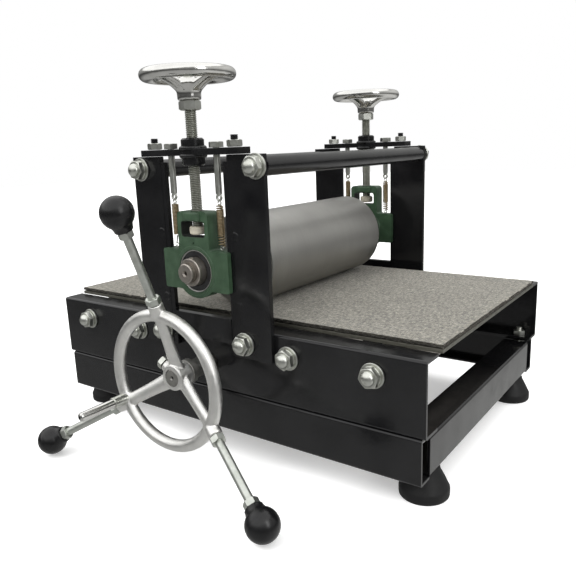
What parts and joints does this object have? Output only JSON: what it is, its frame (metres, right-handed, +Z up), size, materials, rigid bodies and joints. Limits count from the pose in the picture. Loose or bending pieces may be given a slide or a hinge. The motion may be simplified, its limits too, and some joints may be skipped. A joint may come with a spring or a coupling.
{
  "type": "tabletop printing press",
  "caption": "Tabletop roller press: a felt-covered bed is driven between two rollers by a crank, with screw-down handwheels setting the pressure.",
  "frame": {"origin": "bottom centre of the whole object's box, on the surface the feet stand on", "axes": "+X the way the bed travels, to the right seen from the crank; +Y along the rollers, away from the crank; +Z up"},
  "size_m": [0.5072, 0.5249, 0.404],
  "materials": {
    "gloss_black_paint": "gloss enamel",
    "zinc_plate": "bright zinc plating",
    "polished_steel": "polished",
    "chrome_plate": "bright chrome",
    "ground_steel": "ground, satin",
    "bare_steel": "turned, oiled",
    "bearing_steel": "ground, with a dark seal",
    "green_casting": "green paint over cast iron",
    "spring_wire": "straw-coloured passivation",
    "black_phenolic": "moulded gloss",
    "black_rubber": "matte",
    "wool_felt": "pressed wool felt",
    "bed_board": "smooth laminate sheet"
  },
  "bodies": {
    "frame": {"rail_near": "gloss_black_paint", "base_side_near": "gloss_black_paint", "top_plate_near": "gloss_black_paint", "lower_bearing_near": "bare_steel", "upright_near_left": "gloss_black_paint", "upright_bolt_near_left": "zinc_plate", "spring_hanger_near_left": "zinc_plate", "foot_near_left": "black_rubber", "upright_near_right": "gloss_black_paint", "upright_bolt_near_right": "zinc_plate", "spring_hanger_near_right": "zinc_plate", "foot_near_right": "black_rubber", "rail_far": "gloss_black_paint", "base_side_far": "gloss_black_paint", "top_plate_far": "gloss_black_paint", "lower_bearing_far": "bare_steel", "upright_far_left": "gloss_black_paint", "upright_bolt_far_left": "zinc_plate", "spring_hanger_far_left": "zinc_plate", "foot_far_left": "black_rubber", "upright_far_right": "gloss_black_paint", "upright_bolt_far_right": "zinc_plate", "spring_hanger_far_right": "zinc_plate", "foot_far_right": "black_rubber", "base_end_left": "gloss_black_paint", "tie_bar_left": "gloss_black_paint", "base_end_right": "gloss_black_paint", "tie_bar_right": "gloss_black_paint", "support_axle_1": "zinc_plate", "support_axle_2": "zinc_plate", "support_axle_3": "zinc_plate", "support_axle_4": "zinc_plate", "return_spring_near_left": "spring_wire", "return_spring_near_right": "spring_wire", "return_spring_far_left": "spring_wire", "return_spring_far_right": "spring_wire"},
    "bed": {"bed_plate": "bed_board", "bed_felt": "wool_felt"},
    "crank": {"lower_roller": "ground_steel", "crank_wheel": "polished_steel", "handle_rod_1": "zinc_plate", "handle_rod_2": "zinc_plate", "handle_rod_3": "zinc_plate", "handle_knob_1": "black_phenolic", "handle_knob_2": "black_phenolic", "handle_knob_3": "black_phenolic"},
    "peg": {"crank_peg": "chrome_plate"},
    "carriage": {"takeup_housing_near": "green_casting", "takeup_housing_far": "green_casting", "bearing_near": "bearing_steel", "bearing_far": "bearing_steel"},
    "pressing_roller": {"upper_roller": "ground_steel"},
    "screw_near": {"pressure_screw_near": "zinc_plate", "handwheel_near": "chrome_plate"},
    "screw_far": {"pressure_screw_far": "zinc_plate", "handwheel_far": "chrome_plate"},
    "support_1": {"support_roller_1": "bare_steel"},
    "support_2": {"support_roller_2": "bare_steel"},
    "support_3": {"support_roller_3": "bare_steel"},
    "support_4": {"support_roller_4": "bare_steel"}
  },
  "joints": [
    {"name": "bed_travel", "type": "slide", "parent": "frame", "child": "bed", "axis": [1, 0, 0], "range_m": [-0.18, 0.18]},
    {"name": "crank_turn", "type": "hinge", "parent": "frame", "child": "crank", "pos_m": [0, 0.0374, 0.1031], "axis": [0, 1, 0], "range_deg": [-245, 245]},
    {"name": "peg_spin", "type": "hinge", "parent": "crank", "child": "peg", "pos_m": [-0.06041, -0.2376, 0.07298], "axis": [0, 1, 0], "continuous": true},
    {"name": "roller_lift", "type": "slide", "parent": "frame", "child": "carriage", "axis": [0, 0, 1], "range_m": [0, 0.012], "deforming": ["return_spring_near_left", "return_spring_near_right", "return_spring_far_left", "return_spring_far_right"]},
    {"name": "roller_turn", "type": "hinge", "parent": "carriage", "child": "pressing_roller", "pos_m": [0, 0.0374, 0.2048], "axis": [0, 1, 0], "range_deg": [-206, 206]},
    {"name": "screw_turn_near", "type": "hinge", "parent": "carriage", "child": "screw_near", "pos_m": [0, -0.1406, 0.398], "axis": [0, 0, 1], "range_deg": [-5, 2474]},
    {"name": "screw_turn_far", "type": "hinge", "parent": "carriage", "child": "screw_far", "pos_m": [0, 0.2154, 0.398], "axis": [0, 0, 1], "range_deg": [-5, 2474]},
    {"name": "support_turn_1", "type": "hinge", "parent": "frame", "child": "support_1", "pos_m": [-0.1975, 0.0374, 0.1257], "axis": [0, 1, 0], "range_deg": [-560, 560]},
    {"name": "support_turn_2", "type": "hinge", "parent": "frame", "child": "support_2", "pos_m": [-0.1055, 0.0374, 0.1257], "axis": [0, 1, 0], "range_deg": [-560, 560]},
    {"name": "support_turn_3", "type": "hinge", "parent": "frame", "child": "support_3", "pos_m": [0.1055, 0.0374, 0.1257], "axis": [0, 1, 0], "range_deg": [-560, 560]},
    {"name": "support_turn_4", "type": "hinge", "parent": "frame", "child": "support_4", "pos_m": [0.1975, 0.0374, 0.1257], "axis": [0, 1, 0], "range_deg": [-560, 560]}
  ],
  "couplings": [
    {"joint": "crank_turn", "follows": "bed_travel", "rad_per_m": 23.697},
    {"joint": "roller_turn", "follows": "bed_travel", "rad_per_m": -19.802},
    {"joint": "screw_turn_near", "follows": "roller_lift", "rad_per_m": 3590.4},
    {"joint": "screw_turn_far", "follows": "roller_lift", "rad_per_m": 3590.4},
    {"joint": "support_turn_1", "follows": "bed_travel", "rad_per_m": 51.02},
    {"joint": "support_turn_2", "follows": "bed_travel", "rad_per_m": 51.02},
    {"joint": "support_turn_3", "follows": "bed_travel", "rad_per_m": 51.02},
    {"joint": "support_turn_4", "follows": "bed_travel", "rad_per_m": 51.02}
  ]
}
